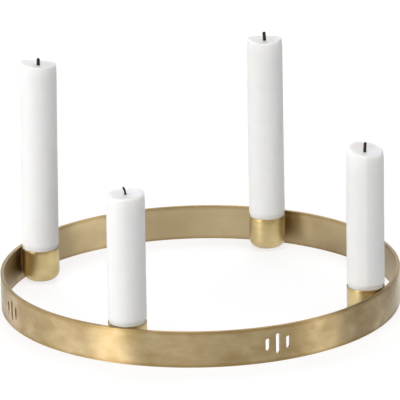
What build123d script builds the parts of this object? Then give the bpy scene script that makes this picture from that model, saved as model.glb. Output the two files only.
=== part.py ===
from build123d import *
import os
from math import acos, cos, degrees, radians, sin, sqrt

# Advent candle holder: a brass band bent into a ring, four drawn brass cups brazed to its
# inner wall, and in each cup a partly burnt candle with its wick.
# Millimetres, +Z up, origin at the ring's centre on the table.
# The cups stand at the front (-Y), right (+X), back (+Y) and left (-X).

# Ring band
ring_diameter = 240.0  # outside
ring_height = 21.5
ring_wall = 2.2
ring_edge_radius = 0.3

# Hanging slots: short, long, short, one group midway between each two cups
slot_width = 2.6
short_slot_length = 7.6
long_slot_length = 12.4
slot_pitch = 6.4  # along the outside of the band

# Candle cups, sized round the candle's foot, rims level with the top of the band
cup_wall = 0.5
cup_table_gap = 1.2  # air under the cup
cup_corner_radius = 5.5  # outside, between side and floor
cup_rim_radius = 0.15

# Brazed joint between a cup and the band
braze_gap = 0.15  # film of filler where cup and band come nearest
braze_meniscus_radius = 0.4  # hollow face of the filler on each side
braze_end_margin = 0.8  # filler stops this far below the rim

# Candles: foot inside the cup, shoulder above its rim, slightly tapered body
candle_diameter = 22.4  # just above the shoulder
candle_draft = 0.13  # degrees, each side
shoulder_rise = 3.0  # from the rim to the full diameter
shoulder_width = 0.65  # pared off the foot, each side
foot_clearance = 0.25  # between foot and cup wall
soft_top_length = 10.0  # stretch that the flame has drawn in
soft_top_inset = 0.3
melt_radius = 30.0  # hollow of the burnt top, measured across the draught
melt_lip_radius = 0.4
draught_side = 114.0  # the way it blew while the candles burnt, in degrees from +X

# Wax above the cup rim, at the foot of the wick
front_wax_height = 76.0
right_wax_height = 81.7
back_wax_height = 112.6
left_wax_height = 114.9

# How far each hollow has burnt off centre, and towards which side in degrees from +X
front_melt_shift = 5.3
front_melt_side = 297.0
right_melt_shift = 6.2
right_melt_side = 330.0
back_melt_shift = 1.2
back_melt_side = 90.0
left_melt_shift = 4.2
left_melt_side = 91.0

# Radius of each hollow along the draught, which has stretched it into a trough
front_trough_radius = 200.0
right_trough_radius = 32.0
back_trough_radius = 200.0
left_trough_radius = 95.0

# Lean of the two candles that stand askew, and the side they lean to, in degrees
front_lean = 0.6
front_lean_side = 24.0
left_lean = 1.2
left_lean_side = 24.0

# Wicks
wick_diameter = 2.2
wick_tip_radius = 0.35

# Wick showing above the wax, its straight start, its bend in degrees, the side it bends to
# and the diameter that its burnt end narrows to
front_wick_length = 5.2
front_wick_straight = 0.4
front_wick_bend = 40.0
front_wick_side = 204.0
front_wick_end = 0.9
right_wick_length = 6.3
right_wick_straight = 3.6
right_wick_bend = 22.0
right_wick_side = 24.0
right_wick_end = 1.6
back_wick_length = 5.8
back_wick_straight = 2.0
back_wick_bend = 5.0
back_wick_side = 204.0
back_wick_end = 2.1
left_wick_length = 4.8
left_wick_straight = 2.8
left_wick_bend = 6.0
left_wick_side = 24.0
left_wick_end = 1.1

# Room for cutting tools to pass the surfaces they cut
cut_margin = 2.0

# Worked out from the values above
ring_radius = ring_diameter / 2
ring_inner_radius = ring_radius - ring_wall
candle_radius = candle_diameter / 2
foot_radius = candle_radius - shoulder_width
cup_bore_radius = foot_radius + foot_clearance
cup_radius = cup_bore_radius + cup_wall
rim_radius = min(cup_rim_radius, 0.4 * cup_wall)  # keeps a flat between the rim's two edges
cup_height = ring_height - cup_table_gap
cup_circle_radius = ring_inner_radius - braze_gap - cup_radius
cup_floor_height = cup_table_gap + cup_wall
cup_depth = ring_height - cup_floor_height
wick_radius = wick_diameter / 2
slot_step = degrees(slot_pitch / ring_radius)

places = {"front": 270.0, "right": 0.0, "back": 90.0, "left": 180.0}
slot_group_turn = 360 / len(places) / 2  # from a cup to the slots beside it
wax_heights = {
    "front": front_wax_height,
    "right": right_wax_height,
    "back": back_wax_height,
    "left": left_wax_height,
}
leans = {
    "front": (front_lean, front_lean_side),
    "right": (0.0, 0.0),
    "back": (0.0, 0.0),
    "left": (left_lean, left_lean_side),
}
melts = {
    "front": (front_melt_shift, front_melt_side, front_trough_radius),
    "right": (right_melt_shift, right_melt_side, right_trough_radius),
    "back": (back_melt_shift, back_melt_side, back_trough_radius),
    "left": (left_melt_shift, left_melt_side, left_trough_radius),
}
wick_forms = {
    "front": (front_wick_length, front_wick_straight, front_wick_bend, front_wick_side, front_wick_end),
    "right": (right_wick_length, right_wick_straight, right_wick_bend, right_wick_side, right_wick_end),
    "back": (back_wick_length, back_wick_straight, back_wick_bend, back_wick_side, back_wick_end),
    "left": (left_wick_length, left_wick_straight, left_wick_bend, left_wick_side, left_wick_end),
}


def heading(angle):
    """Level unit vector at an angle in degrees from +X."""
    return Vector(cos(radians(angle)), sin(radians(angle)), 0)


def candle_frame(place):
    """Plane at the middle of a cup's rim: X outward from the ring, Z up the candle's axis."""
    outward = heading(places[place])
    lean, lean_side = leans[place]
    axis = heading(lean_side) * sin(radians(lean)) + Vector(0, 0, cos(radians(lean)))
    return Plane(
        origin=outward * cup_circle_radius + Vector(0, 0, ring_height),
        x_dir=outward - axis * outward.dot(axis),
        z_dir=axis,
    )


def hollow_bottom(place):
    """Lowest point of a burnt top's hollow, in the candle's own frame.

    The hollow is cut by a ring-shaped tool: an arc of the melt radius, lying across the draught,
    turned about a level line that is one trough radius above the lowest point.
    """
    shift, side, trough_radius = melts[place]
    along = shift * cos(radians(side - draught_side))
    across = shift * sin(radians(side - draught_side))
    arc_drop = trough_radius - melt_radius + sqrt(melt_radius**2 - across**2)
    rise_at_wick = trough_radius - sqrt(arc_drop**2 - along**2)
    return heading(side - places[place]) * shift + Vector(0, 0, wax_heights[place] - rise_at_wick)


def write(piece, name):
    """Label a finished piece and write its file."""
    piece.part.label = name
    export_step(piece.part, f"parts/{name}.step")


os.makedirs("parts", exist_ok=True)

# Ring band, with its edges broken and the slot groups cut through the wall
with BuildPart() as ring_band:
    with BuildSketch():
        Circle(ring_radius)
        Circle(ring_inner_radius, mode=Mode.SUBTRACT)
    extrude(amount=ring_height)
    fillet(ring_band.edges().filter_by(GeomType.CIRCLE), ring_edge_radius)
    for place_angle in places.values():
        for step, slot_length in ((-1, short_slot_length), (0, long_slot_length), (1, short_slot_length)):
            radial = heading(place_angle + slot_group_turn + step * slot_step)
            slot_plane = Plane(origin=(0, 0, ring_height / 2), x_dir=(0, 0, 1), z_dir=radial)
            with BuildSketch(slot_plane):
                SlotOverall(slot_length, slot_width)
            extrude(amount=ring_radius + cut_margin, mode=Mode.SUBTRACT)
write(ring_band, "ring_band")

# Filler between cup and band: its hollow faces touch both round walls smoothly.
# Seen from above, each face is an arc about a point that lies one meniscus radius
# inside the band's inner wall and one meniscus radius outside the cup.
face_reach = ring_inner_radius - braze_meniscus_radius
face_to_cup = cup_radius + braze_meniscus_radius
face_cosine = (cup_circle_radius**2 + face_reach**2 - face_to_cup**2) / (2 * cup_circle_radius * face_reach)
face_angle = degrees(acos(face_cosine))
cup_middle = Vector(cup_circle_radius, 0)
face_middle = heading(face_angle) * face_reach
to_band = heading(face_angle)
to_cup = (cup_middle - face_middle).normalized()
on_band = face_middle + to_band * braze_meniscus_radius
on_cup = face_middle + to_cup * braze_meniscus_radius
on_face = face_middle + (to_band + to_cup).normalized() * braze_meniscus_radius
braze_bottom = cup_table_gap + cup_corner_radius
braze_top = ring_height - braze_end_margin

for place, place_angle in places.items():
    outward = heading(place_angle)
    cup_base = Plane(origin=outward * cup_circle_radius + Vector(0, 0, cup_table_gap))

    # Cup, drawn to an even wall with a rounded lower corner
    with BuildPart() as candle_cup:
        with BuildSketch(cup_base):
            Circle(cup_radius)
        extrude(amount=cup_height)
        fillet(candle_cup.edges().group_by(Axis.Z)[0], cup_corner_radius)
        offset(amount=-cup_wall, openings=candle_cup.faces().sort_by(Axis.Z)[-1])
        fillet(candle_cup.edges().group_by(Axis.Z)[-1], rim_radius)
    write(candle_cup, f"candle_cup_{place}")

    # Filler, one outline of four arcs
    with BuildPart() as braze_fillet:
        with BuildSketch(Plane(origin=(0, 0, braze_bottom), x_dir=outward, z_dir=(0, 0, 1))):
            with BuildLine():
                ThreePointArc(on_band, (ring_inner_radius, 0), (on_band.X, -on_band.Y))
                ThreePointArc((on_band.X, -on_band.Y), (on_face.X, -on_face.Y), (on_cup.X, -on_cup.Y))
                ThreePointArc((on_cup.X, -on_cup.Y), (cup_circle_radius + cup_radius, 0), on_cup)
                ThreePointArc(on_cup, on_face, on_band)
            make_face()
        extrude(amount=braze_top - braze_bottom)
    write(braze_fillet, f"braze_fillet_{place}")

    # Candle, turned about its own axis, cut level where it stands on the cup's floor
    frame = candle_frame(place)
    wax_height = wax_heights[place]
    neck_height = wax_height - soft_top_length
    neck_radius = candle_radius - (neck_height - shoulder_rise) * sin(radians(candle_draft))
    blank_top = wax_height + soft_top_length
    hollow_cut_height = blank_top - hollow_bottom(place).Z + cut_margin
    blank_inset = soft_top_inset * ((blank_top - neck_height) / soft_top_length) ** 2
    blank_bottom = -cup_depth - cut_margin
    floor_radius = foot_radius - cup_depth * sin(radians(leans[place][0]))
    with BuildPart() as candle:
        with BuildSketch(Plane(origin=frame.origin, x_dir=frame.x_dir, z_dir=-frame.y_dir)):
            with BuildLine():
                side = Polyline(
                    (0, blank_bottom),
                    (floor_radius, blank_bottom),
                    (floor_radius, -cup_depth),
                    (foot_radius, 0),
                    (candle_radius, shoulder_rise),
                    (neck_radius, neck_height),
                )
                soft_top = TangentArc(side @ 1, (neck_radius - blank_inset, blank_top), tangent=side % 1)
                Polyline(soft_top @ 1, (0, blank_top), (0, blank_bottom))
            make_face()
        revolve(axis=Axis(frame.origin, frame.z_dir))
        split(bisect_by=Plane.XY.offset(cup_floor_height), keep=Keep.TOP)
        fillet(candle.edges().group_by(Axis.Z)[0], cup_corner_radius - cup_wall)
        trough_radius = melts[place][2]
        bottom = frame.from_local_coords(hollow_bottom(place))
        across = frame.from_local_coords(heading(draught_side - 90 - places[place])) - frame.origin
        with BuildSketch(Plane(origin=bottom, x_dir=across, z_dir=across.cross(frame.z_dir))):
            with Locations((0, melt_radius)):
                Circle(melt_radius)
            with Locations((0, hollow_cut_height + melt_radius)):
                Rectangle(2 * melt_radius, 2 * melt_radius, mode=Mode.SUBTRACT)
        revolve(axis=Axis(bottom + frame.z_dir * trough_radius, across), mode=Mode.SUBTRACT)
        hollow = candle.faces().sort_by_distance(bottom)[0]
        fillet(hollow.outer_wire().edges(), melt_lip_radius)
        with BuildSketch(frame):
            Circle(wick_radius)
        extrude(amount=blank_top, both=True, mode=Mode.SUBTRACT)
    write(candle, f"candle_{place}")

    # Wick, straight through the wax, bent and narrowed where it has burnt
    length, straight, bend, bend_side, end_diameter = wick_forms[place]
    bend_direction = heading(bend_side - places[place])
    bend_plane = Plane(
        origin=frame.origin,
        x_dir=frame.from_local_coords(bend_direction) - frame.origin,
        z_dir=frame.from_local_coords(bend_direction.cross(Vector(0, 0, 1))) - frame.origin,
    )
    bend_radius = (length - straight) / radians(bend)
    with BuildPart() as wick:
        with BuildLine(bend_plane):
            stem = Line((0, blank_bottom), (0, wax_height + straight))
        with BuildLine(bend_plane):
            burnt_end = JernArc(start=stem @ 1, tangent=stem % 1, radius=bend_radius, arc_size=-bend)
        with BuildSketch(Plane(origin=stem @ 0, z_dir=frame.z_dir)):
            Circle(wick_radius)
        sweep(path=stem)
        with BuildSketch(Plane(origin=burnt_end @ 0, z_dir=burnt_end % 0)):
            Circle(wick_radius)
        with BuildSketch(Plane(origin=burnt_end @ 1, z_dir=burnt_end % 1)):
            Circle(end_diameter / 2)
        sweep(path=burnt_end, multisection=True)
        split(bisect_by=Plane.XY.offset(cup_floor_height), keep=Keep.TOP)
        fillet(wick.faces().sort_by(Axis.Z)[-1].edges(), wick_tip_radius)
    write(wick, f"wick_{place}")
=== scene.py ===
"""Advent candle holder: a brushed brass ring with four brazed cups and four burnt white candles.

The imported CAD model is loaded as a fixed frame. Each class below stands for one kind of piece on
the bench: it works out its surface as whole numpy arrays, in metres and in the CAD frame, puts it
into a mesh and dresses it with a finish.
"""

import logging
import math
from abc import ABC, abstractmethod
from dataclasses import dataclass, field
from enum import Enum
from functools import partial
from typing import NamedTuple, Optional, Union

import bpy
import numpy as np
from mathutils import Matrix, Vector


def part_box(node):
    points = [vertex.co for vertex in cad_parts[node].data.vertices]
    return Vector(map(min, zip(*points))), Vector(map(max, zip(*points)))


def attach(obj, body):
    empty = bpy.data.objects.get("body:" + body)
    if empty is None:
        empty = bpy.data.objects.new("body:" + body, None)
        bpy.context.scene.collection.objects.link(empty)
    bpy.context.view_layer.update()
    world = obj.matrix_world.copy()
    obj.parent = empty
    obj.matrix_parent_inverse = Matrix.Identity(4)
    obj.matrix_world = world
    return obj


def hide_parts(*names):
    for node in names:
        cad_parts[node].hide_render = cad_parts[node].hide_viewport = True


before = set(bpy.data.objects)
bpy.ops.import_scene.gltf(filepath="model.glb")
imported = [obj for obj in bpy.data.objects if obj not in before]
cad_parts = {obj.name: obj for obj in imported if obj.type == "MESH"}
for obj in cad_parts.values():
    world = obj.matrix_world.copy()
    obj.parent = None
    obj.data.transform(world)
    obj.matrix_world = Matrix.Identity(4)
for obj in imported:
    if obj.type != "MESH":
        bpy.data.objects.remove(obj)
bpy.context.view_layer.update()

LOG = logging.getLogger("advent_candle_holder")
MM = 0.001  # metres in a millimetre
FULL_TURN = 2 * math.pi
WELD_STEP = 1e-7  # metres within which points are one


class Place(Enum):
    """Where a cup stands on the ring, in degrees from +X."""

    FRONT = 270.0
    RIGHT = 0.0
    BACK = 90.0
    LEFT = 180.0

    @property
    def label(self) -> str:
        """Last word of the CAD nodes and bodies at this place."""
        return self.name.lower()


QUARTER = FULL_TURN / len(Place)  # from one cup to the next


class Body(Enum):
    """Kinds of CAD body that a piece rides on."""

    HOLDER = "holder"
    CANDLE = "candle"

    def at(self, place: Optional[Place] = None) -> str:
        """Name of the CAD body, at a place where there is one for each."""
        return f"{self.value}_{place.label}" if self is Body.CANDLE else self.value


# Numbers and arrays


def linear(hex_colour: str) -> tuple[float, float, float, float]:
    """Linear colour of an sRGB hex value.

    Args:
        hex_colour: six hex digits, with or without a leading hash.

    Returns:
        Red, green, blue and an alpha of 1.
    """
    digits = hex_colour.lstrip("#")
    channels = [int(digits[i:i + 2], 16) / 255 for i in (0, 2, 4)]
    straight = [c / 12.92 if c <= 0.04045 else ((c + 0.055) / 1.055) ** 2.4 for c in channels]
    return (*straight, 1.0)


def smooth_step(values: np.ndarray) -> np.ndarray:
    """Ease from 0 to 1 without a corner at either end, 3t^2 - 2t^3 with t clipped to 0..1."""
    t = np.clip(values, 0.0, 1.0)
    return t * t * (3 - 2 * t)


def pairs(first: Union[float, np.ndarray], second: Union[float, np.ndarray]) -> np.ndarray:
    """Rows of two values. Either may be one number that all rows share."""
    return np.stack(np.broadcast_arrays(first, second), axis=1)


def arc(centre: tuple[float, float], radius: float, start: float, end: float, steps: int) -> np.ndarray:
    """Points on a circular arc in the (radius, height) plane of a turned profile.

    Args:
        centre: centre of the arc.
        radius: radius of the arc.
        start: first angle in degrees, from the outward direction towards +Z.
        end: last angle in degrees.
        steps: number of equal parts.

    Returns:
        Array of shape (steps + 1, 2).
    """
    angles = np.radians(np.linspace(start, end, steps + 1))
    return pairs(centre[0] + radius * np.cos(angles), centre[1] + radius * np.sin(angles))


def turn(profile: np.ndarray, angles: np.ndarray, centre: np.ndarray) -> np.ndarray:
    """Turn a profile round a vertical axis: (r, z) goes to centre + (r cos a, r sin a, z).

    Args:
        profile: (rows, 2) array of radius and height.
        angles: (columns,) array in radians.
        centre: foot of the axis.

    Returns:
        (rows, columns, 3) array of points.
    """
    radius, height = profile[:, :1], profile[:, 1:]
    x = centre[0] + radius * np.cos(angles)
    y = centre[1] + radius * np.sin(angles)
    z = centre[2] + height + np.zeros_like(x)
    return np.stack([x, y, z], axis=-1)


def direction(bearing: float, rise: float) -> Vector:
    """Unit vector at a bearing from +X and a rise above level, both in radians."""
    level = math.cos(rise)
    return Vector((level * math.cos(bearing), level * math.sin(bearing), math.sin(rise)))


def band_quads(rows: int, columns: int, close_rows: bool) -> np.ndarray:
    """Quads over a grid of points whose columns run round and meet.

    Args:
        rows: number of rows of points.
        columns: number of points round.
        close_rows: whether the last row also joins the first.

    Returns:
        (rows or rows - 1, columns, 4) array of point numbers. A quad faces the way its
        columns' direction crossed with its rows' direction points.
    """
    index = np.arange(rows * columns).reshape(rows, columns)
    index = np.concatenate([index, index[:, :1]], axis=1)
    if close_rows:
        index = np.concatenate([index, index[:1]], axis=0)
    return np.stack([index[:-1, :-1], index[:-1, 1:], index[1:, 1:], index[1:, :-1]], axis=-1)


@dataclass
class Surface:
    """Points and quads of a closed surface, with a value at each point for its finish."""

    points: np.ndarray
    quads: np.ndarray
    tones: dict[str, np.ndarray] = field(default_factory=dict)

    @classmethod
    def over(cls, points: np.ndarray, close_rows: bool, **tones: np.ndarray) -> "Surface":
        """Surface over a (rows, columns, 3) array of points whose columns run round.

        Args:
            points: the grid of points.
            close_rows: whether the last row joins the first. If not, the end rows are poles or open.
            tones: (rows, columns) arrays of values for the finish.

        Returns:
            The surface.
        """
        rows, columns = points.shape[:2]
        quads = band_quads(rows, columns, close_rows).reshape(-1, 4)
        flat_tones = {name: np.broadcast_to(value, (rows, columns)).ravel() for name, value in tones.items()}
        return cls(points.reshape(-1, 3), quads, flat_tones)

    def joined(self, others: list["Surface"]) -> "Surface":
        """This surface and others as one, still with separate points along their seams.

        Args:
            others: surfaces without tones.

        Returns:
            One surface.
        """
        parts = [self, *others]
        starts = np.cumsum([0] + [len(part.points) for part in parts[:-1]])
        points = np.concatenate([part.points for part in parts])
        quads = np.concatenate([part.quads + start for part, start in zip(parts, starts)])
        return Surface(points, quads)

    def faces(self) -> tuple[np.ndarray, np.ndarray, list[list[int]]]:
        """Weld points that coincide, so that seams and poles are closed.

        Returns:
            The points that are left, which of the first points each of them was, and the
            faces. A quad that has lost one corner is a triangle.
        """
        keys = np.round(self.points / WELD_STEP).astype(np.int64)
        _, kept, renamed = np.unique(keys, axis=0, return_index=True, return_inverse=True)
        quads = renamed.reshape(-1)[self.quads]
        distinct = quads != np.roll(quads, 1, axis=1)
        whole = distinct.all(axis=1)
        single = distinct.sum(axis=1) == 3
        triangles = quads[single][distinct[single]].reshape(-1, 3)
        return self.points[kept], kept, quads[whole].tolist() + triangles.tolist()

    def piece(self, name: str, finish: bpy.types.Material) -> bpy.types.Object:
        """Put the surface into a mesh object with a smooth finish.

        Args:
            name: name of the piece.
            finish: material of the whole piece.

        Returns:
            The object, at the origin, with its place in its mesh.
        """
        points, kept, faces = self.faces()
        mesh = bpy.data.meshes.new(name)
        mesh.from_pydata(points.tolist(), [], faces)
        mesh.polygons.foreach_set("use_smooth", np.ones(len(mesh.polygons), dtype=bool))
        for tone, values in self.tones.items():
            layer = mesh.attributes.new(tone, "FLOAT", "POINT")
            layer.data.foreach_set("value", values[kept].astype(np.float32))
        mesh.materials.append(finish)
        mesh.update()
        piece = bpy.data.objects.new(name, mesh)
        bpy.context.scene.collection.objects.link(piece)
        return piece


# Finishes


def add_node(
    tree: bpy.types.NodeTree,
    kind: str,
    inputs: Optional[dict] = None,
    output: Union[int, str] = 0,
    **options: object,
) -> Optional[bpy.types.NodeSocket]:
    """Add a shader node, set its options and fill its inputs.

    Args:
        tree: tree that gets the node.
        kind: Blender's name for the node without the leading ShaderNode.
        inputs: value for each input by name or number. An output socket is linked, and anything
            else is set as a constant.
        output: name or number of the output that is wanted.
        options: properties of the node by name.

    Returns:
        That output, or None where the node has no outputs.
    """
    node = tree.nodes.new(f"ShaderNode{kind}")
    for option, value in options.items():
        setattr(node, option, value)
    for socket, value in (inputs or {}).items():
        if isinstance(value, bpy.types.NodeSocket):
            tree.links.new(value, node.inputs[socket])
        else:
            node.inputs[socket].default_value = value
    return node.outputs[output] if node.outputs else None


def new_material(name: str) -> tuple[bpy.types.Material, partial, bpy.types.NodeSocket]:
    """Start a node material.

    Args:
        name: name of the material.

    Returns:
        The material, add_node for its tree, and its Object coordinates.
    """
    material = bpy.data.materials.new(name)
    material.use_nodes = True
    tree = material.node_tree
    tree.nodes.clear()
    add = partial(add_node, tree)
    return material, add, add("TexCoord", output="Object")


@dataclass(frozen=True)
class BrushedBrass:
    """Brass brushed round its axis with a fibre pad, under a thin matt lacquer.

    The brushing spreads a reflection up and down but hardly round the ring, so the studio's lights
    stand on it as soft upright bands, and the lacquer greys it where it is seen at a flat angle.
    Air and fingers have left it dull in brown clouds and small patches. The clouds are drawn fainter inside
    the ring as painted light, and painted shade darkens it along its edges.
    """

    name: str
    low_edge: float
    high_edge: float
    clean: str = "#C0AC86"
    dulled_and_shaded: str = "#A48A59"
    lit_inside_radius: float = 0.0  # inside this distance from the ring's axis the dulling is drawn fainter, as painted light
    lit_inside_share: float = 0.15  # of the dulling
    roughness: float = 0.45
    roughness_spread: float = 0.05
    anisotropy: float = 0.94
    scratch_width: float = 0.9 * MM  # real scratches are ten times finer, drawn to show
    scratch_length: float = 26.0 * MM
    scratch_depth: float = 0.010 * MM
    cloud_size: float = 26.0 * MM
    patch_size: float = 7.0 * MM
    patch_share: float = 0.25  # of patches among the clouds
    cloud_squeeze: float = 1.5  # clouds and patches run along the brushing
    edge_reach: float = 2.6 * MM
    # painted shade: how far towards the darker colour the brass is drawn at its top and bottom edges
    edge_painted_shade: float = 0.8
    coat_weight: float = 0.35
    coat_roughness: float = 0.45

    def material(self) -> bpy.types.Material:
        """Make the node material of this finish.

        Returns:
            The material.
        """
        material, add, place = new_material(self.name)
        along = 1 / self.scratch_length
        brushing = add("Mapping", {"Vector": place, "Scale": (along, along, 1 / self.scratch_width)})
        scratches = add("TexNoise", {"Vector": brushing, "Scale": 1.0, "Detail": 3.0, "Roughness": 0.65})
        drawn = add("Mapping", {"Vector": place, "Scale": (1.0, 1.0, self.cloud_squeeze)})
        clouds = add("TexNoise", {"Vector": drawn, "Scale": 1 / self.cloud_size, "Distortion": 0.6})
        patches = add("TexNoise", {"Vector": drawn, "Scale": 1 / self.patch_size})
        blend = add("Mix", {0: self.patch_share, 2: clouds, 3: patches})

        # Dulling by air and hands in clouds, drawn fainter inside the ring as painted light, with painted
        # shade added beside the top and bottom edges
        level = add("VectorMath", {0: place, 1: (1.0, 1.0, 0.0)}, operation="MULTIPLY")
        radius = add("VectorMath", {0: level}, "Value", operation="LENGTH")
        # painted light: inside the ring the dulling is drawn fainter, so the inner wall reads lighter
        outside = add("Math", {0: radius, 1: self.lit_inside_radius}, operation="GREATER_THAN")
        dulling_scale_lit_inside = add("Mix", {0: outside, 2: self.lit_inside_share, 3: 1.0})
        cloud_dulling_lit_inside = add("MapRange", {"Value": blend, "From Min": 0.30, "From Max": 0.70, "To Max": dulling_scale_lit_inside})
        height = add("SeparateXYZ", {0: place}, "Z")
        above = add("Math", {0: height, 1: self.low_edge}, operation="SUBTRACT")
        below = add("Math", {0: self.high_edge, 1: height}, operation="SUBTRACT")
        inset = add("Math", {0: above, 1: below}, operation="MINIMUM")
        fade = {"Value": inset, "From Max": self.edge_reach, "To Min": self.edge_painted_shade, "To Max": 0.0}
        # painted shade, darkest at the top and bottom edges and fading over edge_reach
        edges = add("MapRange", fade, interpolation_type="SMOOTHSTEP")
        dulling_and_edge_shade = add("Math", {0: cloud_dulling_lit_inside, 1: edges}, operation="ADD")

        shades = {0: dulling_and_edge_shade, 6: linear(self.clean), 7: linear(self.dulled_and_shaded)}
        tint = add("Mix", shades, 2, data_type="RGBA")
        streaks = {"Value": scratches, "From Min": 0.25, "From Max": 0.75, "To Min": 0.95, "To Max": 1.04}
        lines = add("MapRange", streaks)
        colour = add("Mix", {0: 1.0, 6: tint, 7: lines}, 2, data_type="RGBA", blend_type="MULTIPLY")
        wear = {"Value": blend, "From Min": 0.36, "From Max": 0.64}
        wear["To Min"] = self.roughness - self.roughness_spread
        wear["To Max"] = self.roughness + self.roughness_spread
        shader = add("BsdfPrincipled", {
            "Base Color": colour,
            "Metallic": 1.0,
            "Roughness": add("MapRange", wear),
            "Anisotropic": self.anisotropy,
            "Anisotropic Rotation": 0.25,  # a quarter turn, from round the axis to up and down
            "Normal": add("Bump", {"Height": scratches, "Distance": self.scratch_depth}),
            "Coat Weight": self.coat_weight,
            "Coat Roughness": self.coat_roughness,
        })
        add("OutputMaterial", {"Surface": shader})
        return material


@dataclass(frozen=True)
class StearinWax:
    """White stearin, cast in a tube and burnt for a while.

    Light sinks a few millimetres into it and softens every edge. The side has a fine satin skin,
    and the hollow that has melted and set again is smoother, with a trace of soot at the wick.
    The flame has left the wax thin and clear round the hollow, so the top glows with the light
    that passes through its rim.
    """

    name: str
    colour: str = "#F0F0EF"
    stain: str = "#C9BDA2"
    skin_roughness: float = 0.55
    melt_roughness: float = 0.42
    scatter_reach: float = 2.0 * MM
    scatter_share: float = 0.5
    thin_scatter_reach: float = 6.0 * MM
    thin_scatter_share: float = 0.9
    grain_size: float = 1.6 * MM
    grain_depth: float = 0.018 * MM
    mottle_size: float = 9.0 * MM

    def material(self) -> bpy.types.Material:
        """Make the node material of this finish. It reads the tones "melted", "thin" and "sooty".

        Returns:
            The material.
        """
        material, add, place = new_material(self.name)
        grain = add("TexNoise", {"Vector": place, "Scale": 1 / self.grain_size, "Detail": 3.0})
        mottle = add("TexNoise", {"Vector": place, "Scale": 1 / self.mottle_size})
        tones = ("melted", "thin", "sooty")
        melted, thin, sooty = (add("Attribute", None, "Fac", attribute_name=tone) for tone in tones)
        shade = add("MapRange", {"Value": mottle, "From Min": 0.3, "From Max": 0.7, "To Min": 0.975})
        tinted = {0: 1.0, 6: linear(self.colour), 7: shade}
        bare = add("Mix", tinted, 2, data_type="RGBA", blend_type="MULTIPLY")
        skin = {"Value": melted, "To Min": self.skin_roughness, "To Max": self.melt_roughness}
        share = {0: thin, 2: self.scatter_share, 3: self.thin_scatter_share}
        reach = {0: thin, 2: self.scatter_reach, 3: self.thin_scatter_reach}
        shader = add("BsdfPrincipled", {
            "Base Color": add("Mix", {0: sooty, 6: bare, 7: linear(self.stain)}, 2, data_type="RGBA"),
            "Roughness": add("MapRange", skin),
            "IOR": 1.44,
            "Subsurface Weight": add("Mix", share),
            "Subsurface Radius": (1.0, 0.86, 0.72),
            "Subsurface Scale": add("Mix", reach),
            "Normal": add("Bump", {"Height": grain, "Distance": self.grain_depth}),
        })
        add("OutputMaterial", {"Surface": shader})
        return material


@dataclass(frozen=True)
class CharredCotton:
    """Plaited cotton wick: cream where the wax still holds it, black and crusted where it has burnt."""

    name: str
    cotton: str = "#D9D2BF"
    char: str = "#171413"
    ash: str = "#4A4541"
    crust_size: float = 0.35 * MM
    crust_depth: float = 0.05 * MM

    def material(self) -> bpy.types.Material:
        """Make the node material of this finish. It reads the tone "burnt".

        Returns:
            The material.
        """
        material, add, place = new_material(self.name)
        crust = add("TexNoise", {"Vector": place, "Scale": 1 / self.crust_size, "Detail": 4.0})
        burnt = add("Attribute", None, "Fac", attribute_name="burnt")
        flakes = add("MapRange", {"Value": crust, "From Min": 0.52, "From Max": 0.74, "To Max": 0.7})
        crusted = {0: flakes, 6: linear(self.char), 7: linear(self.ash)}
        black = add("Mix", crusted, 2, data_type="RGBA")
        colour = add("Mix", {0: burnt, 6: linear(self.cotton), 7: black}, 2, data_type="RGBA")
        shader = add("BsdfPrincipled", {
            "Base Color": colour,
            "Roughness": 0.85,
            "IOR": 1.5,
            "Normal": add("Bump", {"Height": crust, "Distance": self.crust_depth}),
        })
        add("OutputMaterial", {"Surface": shader})
        return material


@dataclass(frozen=True)
class StudioPaper:
    """White seamless paper: matt, and lifted to plain white where the eye or a reflection meets it."""

    name: str
    colour: str = "#9A9A9A"
    fibre_size: float = 6.0 * MM
    lift: float = 0.74

    def material(self) -> bpy.types.Material:
        """Make the node material of this finish.

        Returns:
            The material.
        """
        material, add, place = new_material(self.name)
        fibres = add("TexNoise", {"Vector": place, "Scale": 1 / self.fibre_size})
        shade = add("MapRange", {"Value": fibres, "From Min": 0.3, "From Max": 0.7, "To Min": 0.99})
        tinted = {0: 1.0, 6: linear(self.colour), 7: shade}
        colour = add("Mix", tinted, 2, data_type="RGBA", blend_type="MULTIPLY")
        paper = add("BsdfDiffuse", {"Color": colour})
        path = add("LightPath").node.outputs
        seen = path["Is Camera Ray"]
        for ray in ("Is Glossy Ray", "Is Transmission Ray"):
            seen = add("Math", {0: seen, 1: path[ray]}, operation="MAXIMUM")
        strength = add("Math", {0: seen, 1: self.lift}, operation="MULTIPLY")
        glow = add("Emission", {"Strength": strength})
        add("OutputMaterial", {"Surface": add("AddShader", {0: paper, 1: glow})})
        return material


# Pieces of the holder


class Seat(NamedTuple):
    """A piece's name, the CAD body it rides on, the CAD node it stands in for, and a material slot name that
    is not used.
    """

    name: str
    body: str
    node: str
    slot: str


class Piece(ABC):
    """A piece of the object, made as one closed surface."""

    @property
    @abstractmethod
    def seat(self) -> Seat:
        """The piece's name and its place in the CAD model."""

    @abstractmethod
    def surface(self) -> Surface:
        """The piece's closed surface."""

    def build(self, finish: bpy.types.Material) -> bpy.types.Object:
        """Make the piece and let it ride on its CAD body in place of its CAD node.

        Args:
            finish: material of the whole piece.

        Returns:
            The piece.
        """
        name, body, node, slot = self.seat
        piece = self.surface().piece(name, finish)
        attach(piece, body)
        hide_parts(node)
        LOG.info("%s rides on %s: %d faces", piece.name, body, len(piece.data.polygons))
        return piece


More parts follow.
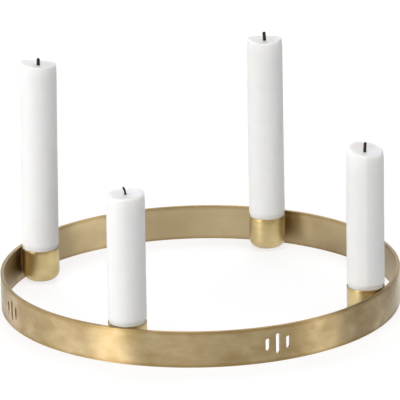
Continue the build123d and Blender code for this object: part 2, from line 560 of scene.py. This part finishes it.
@dataclass
class RingBand(Piece):
    """The brass band: a strip with broken edges, pierced by slots in groups of short, long, short."""

    radius: float
    height: float
    wall: float = 2.2 * MM
    edge_radius: float = 0.3 * MM
    slot_width: float = 2.6 * MM
    slot_lengths: tuple[float, ...] = (7.6 * MM, 12.4 * MM, 7.6 * MM)
    slot_pitch: float = 6.4 * MM  # along the outside of the band
    slot_edge: float = 0.15 * MM  # rounding of the slots' rims
    slot_margin: float = 1.8 * MM  # wall left above and below the longest slot in its window
    edge_hold: float = 0.12 * MM  # row beside an edge that keeps the wall's shading flat
    plain_columns: int = 220  # between two groups of slots
    slot_columns: int = 12
    slot_rows: int = 12
    edge_steps: int = 4
    window_shares: tuple[float, ...] = (1.0, 0.6, 0.3, 0.1, 0.0)  # of the way from slot to window

    @classmethod
    def from_frame(cls) -> "RingBand":
        """The band at the size of its CAD node."""
        _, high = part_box("ring_band")
        return cls(radius=high.x, height=high.z)

    @property
    def seat(self) -> Seat:
        """The band's name and its place in the CAD model."""
        return Seat("brass_ring_band", Body.HOLDER.at(), "ring_band", "brass_band")

    @property
    def inner_radius(self) -> float:
        """Radius of the inner wall."""
        return self.radius - self.wall

    @property
    def window(self) -> tuple[float, float]:
        """Lowest and highest point of the stretch of wall that holds a slot."""
        reach = max(self.slot_lengths) / 2 + self.slot_margin
        return self.height / 2 - reach, self.height / 2 + reach

    @property
    def group_angle(self) -> float:
        """Angle that a group of slots takes up."""
        return len(self.slot_lengths) * self.slot_pitch / self.radius

    @property
    def first_angle(self) -> float:
        """Angle from +X at which the first group of slots starts, midway between two cups."""
        return QUARTER / 2 - self.group_angle / 2

    def columns(self) -> np.ndarray:
        """Angles of the columns of points, evenly spaced between groups and within each window.

        Returns:
            (columns,) array in radians, from the first group's start once round.
        """
        pierced = len(self.slot_lengths) * self.slot_columns
        inside = np.linspace(0, self.group_angle, pierced, endpoint=False)
        between = np.linspace(self.group_angle, QUARTER, self.plain_columns, endpoint=False)
        starts = self.first_angle + QUARTER * np.arange(len(Place))
        return (starts[:, None] + np.concatenate([inside, between])).ravel()

    def section(self) -> np.ndarray:
        """Closed section of the strip: up the outer wall, over the top, down the inner wall.

        Returns:
            (rows, 2) array of radius and height.
        """
        edge = self.edge_radius
        outer, inner = self.radius - edge, self.inner_radius + edge
        low, high = edge, self.height - edge
        hold = edge + self.edge_hold
        inside = np.linspace(*self.window, self.slot_rows + 1)
        heights = np.concatenate([[hold], inside, [self.height - hold]])
        flat = np.array([outer - self.edge_hold, inner + self.edge_hold])
        return np.concatenate([
            arc((outer, low), edge, -90, 0, self.edge_steps),
            pairs(self.radius, heights),
            arc((outer, high), edge, 0, 90, self.edge_steps),
            pairs(flat, self.height),
            arc((inner, high), edge, 90, 180, self.edge_steps),
            pairs(self.inner_radius, heights[::-1]),
            arc((inner, low), edge, 180, 270, self.edge_steps),
            pairs(flat[::-1], 0.0),
        ])

    def strip(self) -> Surface:
        """The strip with an open window in both walls for each slot.

        Returns:
            The surface, open at the windows.
        """
        section = self.section()
        columns = self.columns()
        points = turn(section, columns, np.zeros(3))
        quads = band_quads(len(section), len(columns), close_rows=True)
        kept = np.ones(quads.shape[:2], dtype=bool)
        arc_rows = self.edge_steps + 1
        outer_row = arc_rows + 1  # an edge's arc and the row that holds it come first
        inner_row = outer_row + self.slot_rows + 2 + arc_rows + 2 + arc_rows + 1
        pierced = np.arange(len(columns)) % (len(columns) // len(Place))
        pierced = pierced < len(self.slot_lengths) * self.slot_columns
        for first in (outer_row, inner_row):
            kept[first:first + self.slot_rows, pierced] = False
        return Surface(points.reshape(-1, 3), quads[kept])

    def looped(self, lower: np.ndarray, right: np.ndarray) -> np.ndarray:
        """Outline from its lower and right sides, turned half round the wall's middle for the others."""
        half = np.concatenate([lower, right])
        return np.concatenate([half, np.array([0.0, self.height]) - half])

    def slot_outline(self, length: float, grown: float) -> np.ndarray:
        """Outline of a slot with round ends, anticlockwise from the left end of its lower round.

        Args:
            length: overall length of the slot.
            grown: how far outside the slot's own edge the outline runs.

        Returns:
            (points, 2) array of distance along the band and height.
        """
        radius = self.slot_width / 2 + grown
        rise = (length - self.slot_width) / 2
        low, high = self.height / 2 - rise, self.height / 2 + rise
        lower = arc((0, low), radius, 180, 360, self.slot_columns)[:-1]
        return self.looped(lower, pairs(radius, np.linspace(low, high, self.slot_rows, endpoint=False)))

    def window_outline(self) -> np.ndarray:
        """Outline of a slot's window, with as many points and the same order as a slot's outline.

        Returns:
            (points, 2) array of distance along the band and height.
        """
        low, high = self.window
        half = self.slot_pitch / 2
        run = np.linspace(-half, half, self.slot_columns, endpoint=False)
        climb = np.linspace(low, high, self.slot_rows, endpoint=False)
        return self.looped(pairs(run, low), pairs(half, climb))

    def slot_wall(self, middle: float, length: float) -> Surface:
        """Wall round one slot, from its outer window through the slot to its inner window.

        Loops of points shrink from the window's outline to the slot's, S + t (W - S), go over the
        rounded rim, through the wall and out over the inner rim in the reverse order.

        Args:
            middle: angle of the slot's middle.
            length: overall length of the slot.

        Returns:
            The surface, open at both windows.
        """
        window = self.window_outline()
        rim = self.slot_outline(length, self.slot_edge)
        bends = np.radians(np.linspace(0, 90, self.edge_steps + 1)[1:])
        outlines = [rim + share * (window - rim) for share in self.window_shares]
        outlines += [self.slot_outline(length, self.slot_edge * (1 - math.sin(bend))) for bend in bends]
        depths = [0.0] * len(self.window_shares) + [self.slot_edge * (1 - math.cos(bend)) for bend in bends]
        loops = np.array(outlines + outlines[::-1])
        radii = self.radius - np.array(depths + [self.wall - depth for depth in depths[::-1]])
        angles = middle + loops[..., 0] / self.radius
        radii = np.broadcast_to(radii[:, None], angles.shape)
        points = np.stack([radii * np.cos(angles), radii * np.sin(angles), loops[..., 1]], axis=-1)
        return Surface.over(points, close_rows=False)

    def surface(self) -> Surface:
        """The strip, with the wall of a slot in each window.

        Returns:
            The closed surface.
        """
        step = self.slot_pitch / self.radius
        first_slot = self.first_angle + step / 2
        slots = [
            self.slot_wall(first_slot + group * QUARTER + number * step, length)
            for group in range(len(Place))
            for number, length in enumerate(self.slot_lengths)
        ]
        return self.strip().joined(slots)


@dataclass
class CandleCup(Piece):
    """A drawn brass cup with a rounded lower corner, brazed to the inside of the band."""

    place: Place
    centre: np.ndarray  # on the cup's axis, at the table
    radius: float
    rim_height: float
    foot_height: float
    wall: float = 0.5 * MM
    corner_radius: float = 5.5 * MM
    rim_radius: float = 0.15 * MM
    columns: int = 144
    disc_steps: int = 6
    corner_steps: int = 14
    side_steps: int = 8
    rim_steps: int = 4

    @classmethod
    def from_frame(cls, place: Place) -> "CandleCup":
        """The cup at the size and place of its CAD node.

        Args:
            place: where the cup stands.

        Returns:
            The cup.
        """
        low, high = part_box(f"candle_cup_{place.label}")
        radius = (high - low).xy.length / math.sqrt(8)  # the box's diagonal is 2r sqrt(2)
        angle = math.radians(place.value)
        reach = abs((high + low).xy.dot(Vector((math.cos(angle), math.sin(angle))))) / 2
        centre = np.array([reach * math.cos(angle), reach * math.sin(angle), 0.0])
        return cls(place, centre, radius, RingBand.from_frame().height, low.z)

    @property
    def seat(self) -> Seat:
        """The cup's name and its place in the CAD model."""
        label = self.place.label
        return Seat(f"brass_cup_{label}", Body.HOLDER.at(), f"candle_cup_{label}", "brass_cup")

    @property
    def bore(self) -> float:
        """Radius of the hollow."""
        return self.radius - self.wall

    @property
    def floor_height(self) -> float:
        """Height of the inside floor above the table."""
        return self.foot_height + self.wall

    def section(self) -> np.ndarray:
        """Half section from the middle of the underside, up outside, over the rim, down inside.

        Returns:
            (rows, 2) array of radius and height.
        """
        flat = self.radius - self.corner_radius
        bend = self.foot_height + self.corner_radius
        rim = self.rim_radius
        rim_low = self.rim_height - rim
        side = np.linspace(bend, rim_low, self.side_steps + 1)[1:-1]
        disc = np.linspace(0, flat, self.disc_steps + 1)[:-1]
        return np.concatenate([
            pairs(disc, self.foot_height),
            arc((flat, bend), self.corner_radius, -90, 0, self.corner_steps),
            pairs(self.radius, side),
            arc((self.radius - rim, rim_low), rim, 0, 90, self.rim_steps),
            arc((self.bore + rim, rim_low), rim, 90, 180, self.rim_steps),
            pairs(self.bore, side[::-1]),
            arc((flat, bend), self.corner_radius - self.wall, 0, -90, self.corner_steps),
            pairs(disc[::-1], self.floor_height),
        ])

    def surface(self) -> Surface:
        """The section, turned round the cup's axis."""
        angles = np.linspace(0, FULL_TURN, self.columns, endpoint=False)
        return Surface.over(turn(self.section(), angles, self.centre), close_rows=False)


@dataclass
class CandleAxis:
    """The line that a candle and its wick stand on, from the middle of the cup's rim."""

    rim_middle: np.ndarray
    lean: float = 0.0  # degrees
    lean_side: float = 0.0  # degrees from +X

    @property
    def up(self) -> np.ndarray:
        """Unit vector up the axis.

        Returns:
            (3,) array.
        """
        lean, side = math.radians(self.lean), math.radians(self.lean_side)
        level = math.sin(lean)
        return np.array([level * math.cos(side), level * math.sin(side), math.cos(lean)])

    def across(self, angles: np.ndarray) -> np.ndarray:
        """Unit vectors square to the axis at angles from +X.

        Args:
            angles: array of any shape, in radians.

        Returns:
            Array with one more dimension of size 3.
        """
        up = self.up
        first = np.array([1.0, 0.0, 0.0]) - up * up[0]
        first /= np.linalg.norm(first)
        second = np.cross(up, first)
        return np.cos(angles)[..., None] * first + np.sin(angles)[..., None] * second

    def points(self, radius: np.ndarray, angles: np.ndarray, height: np.ndarray) -> np.ndarray:
        """Points at a radius, an angle and a height along the axis above the cup's rim."""
        return self.rim_middle + radius[..., None] * self.across(angles) + height[..., None] * self.up


@dataclass
class BurntTop:
    """How one candle has burnt, and the marks in its wax."""

    wax_height: float  # above the cup's rim, at the foot of the wick
    melt_shift: float  # how far the hollow lies off the axis
    melt_side: float  # the side it lies to, in degrees from +X
    trough_radius: float  # of the hollow, along the draught
    lip_radius: float  # rounding of the rim
    lip_waves: tuple[tuple[int, float, float], ...]  # waves round, height, degrees
    crease_height: float  # ridge drawn down the side
    crease_side: float  # degrees from +X


@dataclass
class Candle(Piece):
    """A white candle with a pared foot, a slight taper and a hollow burnt top."""

    cup: CandleCup
    axis: CandleAxis
    top: BurntTop
    radius: float = 11.2 * MM
    shoulder_rise: float = 3.0 * MM
    shoulder_width: float = 0.65 * MM
    draft: float = 0.13  # degrees
    soft_length: float = 10.0 * MM
    soft_inset: float = 0.3 * MM
    melt_radius: float = 30.0 * MM  # of the hollow, across the draught
    draught_side: float = 114.0  # the way it blew, in degrees from +X
    wick_radius: float = 1.1 * MM
    wick_climb: float = 0.35 * MM  # wax drawn up round the wick
    wick_climb_reach: float = 0.9 * MM
    rim_climb: float = 0.5 * MM  # wax left standing at the rim
    crease_width: float = 0.36  # radians over which a crease fades
    crease_softness: float = 0.02
    # Waves round the side: how many, their height, and the rise for each radian that they turn
    side_waves: tuple[tuple[int, float, float], ...] = (
        (3, 0.03 * MM, 21.0 * MM), (5, 0.02 * MM, -13.0 * MM),
    )
    thin_reach: float = 9.0 * MM  # over which the wax grows thick again below the rim
    thick_reach: float = 6.0 * MM  # round the wick, where the wax goes deep
    soot_share: float = 0.08
    soot_reach: float = 0.6 * MM
    slope_step: float = 0.01 * MM  # over which the hollow's slope is measured
    settle_rounds: int = 12
    columns: int = 192
    foot_steps: int = 5
    corner_steps: int = 12
    stem_steps: int = 7
    side_rows: int = 90
    fade_rows: int = 6  # of the side's rows, over which the skin turns to melt
    lip_steps: int = 15
    hollow_steps: int = 39
    bore_steps: int = 8

    @property
    def seat(self) -> Seat:
        """The candle's name and its place in the CAD model."""
        place = self.cup.place
        return Seat(f"wax_candle_{place.label}", Body.CANDLE.at(place), f"candle_{place.label}", "wax")

    @property
    def foot_radius(self) -> float:
        """Radius at the cup's rim."""
        return self.radius - self.shoulder_width

    @property
    def depth(self) -> float:
        """Depth of the foot below the cup's rim."""
        return self.cup.rim_height - self.cup.floor_height

    def trough(self, radius: np.ndarray, angles: np.ndarray) -> np.ndarray:
        """Height of the smooth hollow above its lowest point.

        An arc of radius a lies across the draught and is turned about a level line at the height b,
        b - sqrt((b - a + sqrt(a^2 - u^2))^2 - v^2), with u across the draught and v along it.

        Args:
            radius: distance from the axis.
            angles: angle from +X in radians.

        Returns:
            Heights of the same shape.
        """
        melt, length = self.melt_radius, self.top.trough_radius
        draught = math.radians(self.draught_side)
        side = math.radians(self.top.melt_side) - draught
        across = radius * np.sin(angles - draught) - self.top.melt_shift * math.sin(side)
        along = radius * np.cos(angles - draught) - self.top.melt_shift * math.cos(side)
        return length - np.sqrt((length - melt + np.sqrt(melt**2 - across**2)) ** 2 - along**2)

    def hollow_height(self, radius: np.ndarray, angles: np.ndarray) -> np.ndarray:
        """Height of the burnt hollow: the trough, with an uneven edge and wax drawn up at the wick.

        Waves round the edge fade towards the wick with the square of the radius, wax left standing
        at the rim with its cube, and beside the wick the wax climbs by a falling exponential.

        Args:
            radius: distance from the axis.
            angles: angle from +X in radians.

        Returns:
            Heights above the cup's rim.
        """
        waves = self.top.lip_waves
        edge = sum(size * np.cos(count * angles - math.radians(turned)) for count, size, turned in waves)
        share = radius / self.radius
        rim = edge * share**2 + self.rim_climb * share**3
        climb = self.wick_climb * np.exp((self.wick_radius - radius) / self.wick_climb_reach)
        rise = self.trough(radius, angles) - self.trough(0 * radius, angles)
        return self.top.wax_height + rise + rim + climb

    def crease(self, angles: np.ndarray) -> np.ndarray:
        """Ridge drawn down the side: h exp(-(sqrt(d^2 + e^2) - e) / w), d the angle from it.

        Args:
            angles: angle from +X in radians.

        Returns:
            Heights of the same shape.
        """
        away = np.angle(np.exp(1j * (angles - math.radians(self.top.crease_side))))
        rounded = np.sqrt(away**2 + self.crease_softness**2) - self.crease_softness
        return self.top.crease_height * np.exp(-rounded / self.crease_width)

    def side_radius(self, height: np.ndarray, lip: np.ndarray, angles: np.ndarray) -> np.ndarray:
        """Radius of the side above the cup: shoulder, taper, drawn-in top, crease and slight waves.

        Args:
            height: height above the cup's rim.
            lip: height of the burnt edge at the same angle.
            angles: angle from +X in radians.

        Returns:
            Radii of the same shape.
        """
        shoulder = smooth_step(height / self.shoulder_rise)
        taper = np.maximum(height - self.shoulder_rise, 0) * math.tan(math.radians(self.draft))
        drawn_in = self.soft_inset * np.clip(1 - (lip - height) / self.soft_length, 0, None) ** 2
        marks = self.crease(angles)
        for count, size, rise in self.side_waves:
            marks = marks + size * np.cos(count * angles + height / rise)
        return self.foot_radius + (self.shoulder_width + marks) * shoulder - taper - drawn_in

    def surface(self) -> Surface:
        """The candle, from the bore out under the foot, up the side, over the lip and down the hollow.

        The lip is an arc tangent to the side and to the hollow: its middle stands one lip radius in
        from the side and one lip radius, square to the hollow's slope, below the hollow. The slope is
        taken where the arc ends, which settles in a few rounds.

        Returns:
            The closed surface, with the tones "melted", "thin" and "sooty".
        """
        angles = np.linspace(0, FULL_TURN, self.columns, endpoint=False)[None, :]
        level = np.zeros_like(angles)
        lip_radius, step = self.top.lip_radius, self.slope_step
        guess = self.hollow_height(self.radius + level, angles)
        lip_middle = self.side_radius(guess, guess, angles) - lip_radius
        lip_end = lip_middle
        for _ in range(self.settle_rounds):
            rise = self.hollow_height(lip_end + step, angles) - self.hollow_height(lip_end - step, angles)
            slope = np.arctan2(rise, 2 * step)
            lip_end = lip_middle - lip_radius * np.sin(slope)
        lip_base = self.hollow_height(lip_end, angles) - lip_radius * np.cos(slope)

        # Foot in the cup
        floor_radius = self.foot_radius - self.depth * math.sin(math.radians(self.axis.lean))
        corner = self.cup.corner_radius - self.cup.wall
        under = np.linspace(self.wick_radius, floor_radius - corner, self.foot_steps + 1)[:-1, None]
        bend = arc((floor_radius - corner, corner - self.depth), corner, -90, 0, self.corner_steps)
        stem = np.linspace(0, 1, self.stem_steps + 1)[1:-1, None]
        stem_radius = floor_radius + (self.foot_radius - floor_radius) * stem
        stem_height = (corner - self.depth) * (1 - stem)

        # Side, with rows closer towards both ends, and lip
        rows = 0.5 - 0.5 * np.cos(math.pi * np.linspace(0, 1, self.side_rows))[:, None]
        side_height = rows * lip_base
        side = self.side_radius(side_height, lip_base + lip_radius, angles)
        joint = side[-1:] - (lip_middle + lip_radius)
        round_over = np.linspace(0, 1, self.lip_steps + 1)[1:, None] * (math.pi / 2 + slope)
        lip = lip_middle + joint + lip_radius * np.cos(round_over)
        lip_height = lip_base + lip_radius * np.sin(round_over)

        # Hollow and bore
        inward = np.linspace(0, 1, self.hollow_steps + 1)[1:, None]
        hollow = lip[-1:] + (self.wick_radius - lip[-1:]) * inward
        hollow_height = self.hollow_height(hollow, angles)
        hollow_height += (lip_height[-1:] - self.hollow_height(lip[-1:], angles)) * (1 - inward) ** 4
        sink = np.linspace(0, 1, self.bore_steps + 1)[1:-1, None]
        bore_height = hollow_height[-1:] + (-self.depth - hollow_height[-1:]) * sink

        radius = np.concatenate([
            under + level, bend[:, :1] + level, stem_radius + level, side, lip, hollow,
            np.full_like(bore_height, self.wick_radius),
        ])
        height = np.concatenate([
            np.full_like(under, -self.depth) + level, bend[:, 1:] + level, stem_height + level,
            side_height, lip_height, hollow_height, bore_height,
        ])
        side_angle = angles - math.radians(self.axis.lean_side)
        tilt = radius * math.tan(math.radians(self.axis.lean)) * np.cos(side_angle)
        height = height + tilt * smooth_step((corner - self.depth - height) / corner)
        points = self.axis.points(radius, angles + 0 * radius, height)

        first_melted = len(under) + len(bend) + len(stem_radius) + len(side)
        melted = np.zeros_like(radius)
        melted[first_melted:] = 1.0
        fade = np.linspace(0, 1, self.fade_rows + 1)[:-1, None]
        melted[first_melted - self.fade_rows:first_melted] = fade
        below = np.maximum(lip_base + lip_radius - height, 0)
        below[first_melted:] = 0.0
        from_wick = radius - self.wick_radius
        thin = np.exp(-below / self.thin_reach) * smooth_step(from_wick / self.thick_reach)
        sooty = self.soot_share * melted * np.exp(-from_wick / self.soot_reach)
        return Surface.over(points, close_rows=True, melted=melted, thin=thin, sooty=sooty)


@dataclass
class Wick(Piece):
    """A plaited wick that runs through the candle and bends over where it has burnt."""

    candle: Candle
    length: float  # above the wax
    straight: float  # of that, before the bend
    bend: float  # degrees
    bend_side: float  # degrees from +X
    burnt_radius: float  # what the flame has left of its thickness
    tip_length: float  # over which the tip draws in
    burn_depth: float = 0.6 * MM  # below the wax, where the flame stopped
    strand_height: float = 0.10 * MM
    strand_pitch: float = 2.6 * MM
    strands: int = 3
    columns: int = 36
    hidden_rows: int = 12
    shown_rows: int = 90
    shown_depth: float = 3.0 * MM  # below the wax, from where the rows stand close

    @property
    def seat(self) -> Seat:
        """The wick's name and its place in the CAD model."""
        place = self.candle.cup.place
        return Seat(f"cotton_wick_{place.label}", Body.CANDLE.at(place), f"wick_{place.label}", "wick")

    def surface(self) -> Surface:
        """A round tube along a straight line and an arc, with two crossing sets of strands.

        The radius is R + h (max(cos(n a + k s), cos(n a - k s)) - 1), with s the way along the wick.
        R eases from the whole to the burnt wick at the wax, and draws in at the tip as a quarter ellipse.

        Returns:
            The closed surface, with the tone "burnt".
        """
        axis, wax = self.candle.axis, self.candle
        start = -wax.depth / math.cos(math.radians(axis.lean))
        wax_top = wax.top.wax_height
        bend_start = wax_top + self.straight
        reach = self.length - self.straight
        bow = reach / math.radians(self.bend)

        shown_start = wax_top - self.shown_depth
        hidden = np.linspace(start, shown_start, self.hidden_rows, endpoint=False)
        shown = np.linspace(shown_start, bend_start + reach, self.shown_rows)
        way = np.concatenate([hidden[:1], hidden, shown, shown[-1:]])[:, None]
        turned = np.clip((way - bend_start) / bow, 0, None)
        along = np.minimum(way, bend_start) + bow * np.sin(turned)
        sideways = bow * (1 - np.cos(turned))

        angles = np.linspace(0, FULL_TURN, self.columns, endpoint=False)[None, :]
        winding = FULL_TURN * way / (self.strands * self.strand_pitch)
        plait = np.maximum(np.cos(self.strands * angles + winding), np.cos(self.strands * angles - winding))
        burnt = smooth_step((way - wax_top + self.burn_depth) / (2 * self.burn_depth))
        thickness = wax.wick_radius + (self.burnt_radius - wax.wick_radius) * burnt
        left = np.clip((shown[-1] - way) / self.tip_length, 0, 1)
        narrowing = np.sqrt(1 - (1 - left) ** 2)
        radius = (thickness + self.strand_height * (plait - 1)) * narrowing
        radius[0] = 0.0
        radius[-1] = 0.0

        bend_way = axis.across(np.array(math.radians(self.bend_side)))
        square = np.cross(axis.up, bend_way)
        lean_in = (np.cos(turned) * np.cos(angles))[..., None] * bend_way
        dip = -(np.sin(turned) * np.cos(angles))[..., None] * axis.up
        round_way = lean_in + dip + np.sin(angles)[..., None] * square
        spine = axis.rim_middle + along[..., None] * axis.up + sideways[..., None] * bend_way
        points = spine + radius[..., None] * round_way
        return Surface.over(points, close_rows=False, burnt=burnt + 0 * angles)


# Studio


@dataclass(frozen=True)
class PhotoCamera:
    """The camera at the photograph's viewing angle."""

    azimuth: float = 23.55  # degrees, 0 looks along +Y
    elevation: float = 17.52
    roll: float = -1.19
    distance: float = 2.198
    target_right: float = 0.00073  # along the picture's right, from the ring's axis
    target_height: float = 0.0627
    lens: float = 330.9
    sensor_width: float = 36.0

    @property
    def bearing(self) -> float:
        """Direction from the object to the camera, in radians from +X."""
        return math.radians(self.azimuth - 90)

    def place(self) -> None:
        """Put the camera in the scene."""
        turned, raised, rolled = (math.radians(a) for a in (self.azimuth, self.elevation, self.roll))
        right = direction(turned, 0.0)
        back = direction(self.bearing, raised)
        up = back.cross(right)
        picture_right = right * math.cos(rolled) + up * math.sin(rolled)
        picture_up = up * math.cos(rolled) - right * math.sin(rolled)
        target = right * self.target_right + Vector((0, 0, self.target_height))
        data = bpy.data.cameras.new("photo_camera")
        data.lens = self.lens
        data.sensor_width = self.sensor_width
        camera = bpy.data.objects.new("photo_camera", data)
        turn_matrix = Matrix((picture_right, picture_up, back)).transposed().to_4x4()
        camera.matrix_world = Matrix.Translation(target + back * self.distance) @ turn_matrix
        bpy.context.scene.collection.objects.link(camera)
        bpy.context.scene.camera = camera


@dataclass(frozen=True)
class Softbox:
    """A rectangular soft light that faces the object."""

    name: str
    bearing: float  # degrees to the right of the camera, seen from the object
    elevation: float  # degrees
    width: float
    height: float
    watts: float
    distance: float = 3.0

    def hang(self, camera: PhotoCamera) -> None:
        """Put the light in the scene, hidden from the camera so that it blocks no view.

        Args:
            camera: the camera that the bearing is counted from.
        """
        out = direction(camera.bearing + math.radians(self.bearing), math.radians(self.elevation))
        data = bpy.data.lights.new(self.name, "AREA")
        data.shape = "RECTANGLE"
        data.size = self.width
        data.size_y = self.height
        data.energy = self.watts
        light = bpy.data.objects.new(self.name, data)
        light.location = out * self.distance
        light.rotation_mode = "QUATERNION"
        light.rotation_quaternion = out.to_track_quat("Z", "Y")
        light.visible_camera = False
        bpy.context.scene.collection.objects.link(light)


@dataclass
class Studio:
    """Paper sweep, soft lights and the dim room round them."""

    camera: PhotoCamera = PhotoCamera()
    floor_radius: float = 5.0
    floor_drop: float = 0.05 * MM  # keeps the paper clear of the band's underside
    floor_columns: int = 96
    sweep_radius: float = 0.8  # curve from the floor up to the backdrop
    sweep_height: float = 2.6
    sweep_angle: float = 60.0  # degrees that the backdrop takes up, behind the object
    sweep_columns: int = 64
    sweep_steps: int = 16
    room_level: float = 0.02
    room_colour: str = "#F8F3EC"
    softboxes: tuple[Softbox, ...] = (  # bearing, elevation, width, height, watts
        Softbox("key_softbox", -50.0, 3.6, 0.95, 0.3, 37.0),
        Softbox("upper_left_softbox", -22.0, 63.0, 1.8, 1.8, 33.0),
        Softbox("upper_right_softbox", 60.0, 55.0, 1.6, 1.6, 14.0),
        Softbox("left_card", -77.0, 3.6, 1.9, 0.3, 24.0),
        Softbox("left_panel", -116.0, 3.6, 2.1, 0.3, 14.5),
        Softbox("front_softbox", 2.0, 28.0, 4.0, 0.8, 18.0),
        Softbox("fill_softbox", 68.0, 9.0, 1.3, 0.8, 20.0),
        Softbox("back_softbox", -180.0, 45.0, 2.6, 1.5, 44.0),
    )

    def paper(self) -> list[bpy.types.Object]:
        """Lay the floor, a flat disc, and the backdrop, an upright arc of paper behind the object.

        Returns:
            Both stage pieces.
        """
        finish = StudioPaper("paper_white_matt").material()
        rings = pairs(np.array([1.0, 0.5, 0.0]) * self.floor_radius, -self.floor_drop)
        angles = np.linspace(0, FULL_TURN, self.floor_columns, endpoint=False)
        disc = turn(rings, angles, np.zeros(3))
        floor = Surface.over(disc, close_rows=False).piece("paper_floor", finish)
        bend = (self.floor_radius - self.sweep_radius, self.sweep_radius)
        curve = arc(bend, self.sweep_radius, -90, 0, self.sweep_steps)
        upright = np.concatenate([curve, [[self.floor_radius, self.sweep_height]]])
        behind = self.camera.bearing + math.pi
        half = math.radians(self.sweep_angle) / 2
        arms = turn(upright, np.linspace(behind - half, behind + half, self.sweep_columns), np.zeros(3))
        rows, columns = arms.shape[:2]
        open_quads = band_quads(rows, columns, close_rows=False)[:, :-1].reshape(-1, 4)
        backdrop = Surface(arms.reshape(-1, 3), open_quads).piece("paper_backdrop", finish)
        return [floor, backdrop]

    def build(self) -> None:
        """Lay the paper, hang the lights, set the room's light and place the camera."""
        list(self.paper())
        for softbox in self.softboxes:
            softbox.hang(self.camera)
        world = bpy.data.worlds.new("dim_room")
        world.use_nodes = True
        room = world.node_tree.nodes["Background"]
        room.inputs["Color"].default_value = linear(self.room_colour)
        room.inputs["Strength"].default_value = self.room_level
        bpy.context.scene.world = world
        bpy.context.scene.view_settings.view_transform = "Standard"
        self.camera.place()


# Values of each candle, by its place: lean and its side, burnt top, and the fields of its wick
LEANS = {Place.FRONT: (0.6, 24.0), Place.LEFT: (1.2, 24.0)}
TOPS = {
    Place.FRONT: BurntTop(
        wax_height=76.0 * MM, melt_shift=5.3 * MM, melt_side=297.0, trough_radius=200.0 * MM,
        lip_radius=1.3 * MM, lip_waves=(
            (0, -0.44 * MM, 0.0), (1, 0.88 * MM, 24.0), (2, -0.44 * MM, 48.0),
            (3, 0.12 * MM, 200.0), (5, 0.06 * MM, 40.0),
        ),
        crease_height=0.30 * MM, crease_side=-69.0,
    ),
    Place.RIGHT: BurntTop(
        wax_height=81.7 * MM, melt_shift=6.2 * MM, melt_side=330.0, trough_radius=32.0 * MM,
        lip_radius=1.5 * MM, lip_waves=((0, 0.95 * MM, 0.0), (3, 0.12 * MM, 30.0), (5, 0.06 * MM, 120.0)),
        crease_height=0.95 * MM, crease_side=-65.0,
    ),
    Place.BACK: BurntTop(
        wax_height=112.6 * MM, melt_shift=1.2 * MM, melt_side=90.0, trough_radius=200.0 * MM,
        lip_radius=0.8 * MM, lip_waves=((3, 0.10 * MM, 300.0), (5, 0.06 * MM, 75.0)),
        crease_height=0.04 * MM, crease_side=-50.0,
    ),
    Place.LEFT: BurntTop(
        wax_height=114.9 * MM, melt_shift=4.2 * MM, melt_side=91.0, trough_radius=95.0 * MM,
        lip_radius=0.8 * MM, lip_waves=((3, 0.12 * MM, 90.0), (5, 0.06 * MM, 160.0)),
        crease_height=0.04 * MM, crease_side=-60.0,
    ),
}
WICKS = {  # length, straight, bend, bend_side, burnt_radius, tip_length
    Place.FRONT: (5.2 * MM, 0.4 * MM, 40.0, 204.0, 0.65 * MM, 1.2 * MM),
    Place.RIGHT: (6.3 * MM, 3.6 * MM, 22.0, 24.0, 0.95 * MM, 1.2 * MM),
    Place.BACK: (5.8 * MM, 2.0 * MM, 5.0, 204.0, 1.1 * MM, 0.7 * MM),
    Place.LEFT: (4.8 * MM, 2.8 * MM, 6.0, 24.0, 1.1 * MM, 1.8 * MM),
}


def main() -> None:
    """Build every piece, then the studio round them."""
    logging.basicConfig(level=logging.INFO, format="%(message)s")
    band = RingBand.from_frame()
    wall_middle = band.radius - band.wall / 2
    # painted light on the band's inner wall, which is drawn with fainter dulling
    band_brass = BrushedBrass("brass_band_brushed", 0.0, band.height, lit_inside_radius=wall_middle)
    band.build(band_brass.material())
    # foot of the cups and top of the band, beside which painted shade darkens the cups and fillets
    edges = (CandleCup.from_frame(Place.FRONT).foot_height, band.height)
    cup_brass = BrushedBrass(
        "brass_cup_satin", *edges, clean="#D0BC8B", dulled_and_shaded="#AF9966", roughness=0.36, anisotropy=0.3
    ).material()
    braze_brass = BrushedBrass(
        "brass_filler_cast", *edges, clean="#A88D5C", dulled_and_shaded="#7C683F", anisotropy=0.0
    ).material()
    wax = StearinWax("stearin_wax_cast").material()
    cotton = CharredCotton("cotton_wick_charred").material()
    for place in Place:
        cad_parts[f"braze_fillet_{place.label}"].material_slots[0].material = braze_brass
        cup = CandleCup.from_frame(place)
        cup.build(cup_brass)
        axis = CandleAxis(cup.centre + np.array([0, 0, cup.rim_height]), *LEANS.get(place, (0.0, 0.0)))
        candle = Candle(cup, axis, TOPS[place])
        candle.build(wax)
        Wick(candle, *WICKS[place]).build(cotton)
    Studio().build()


if __name__ == "__main__":
    main()
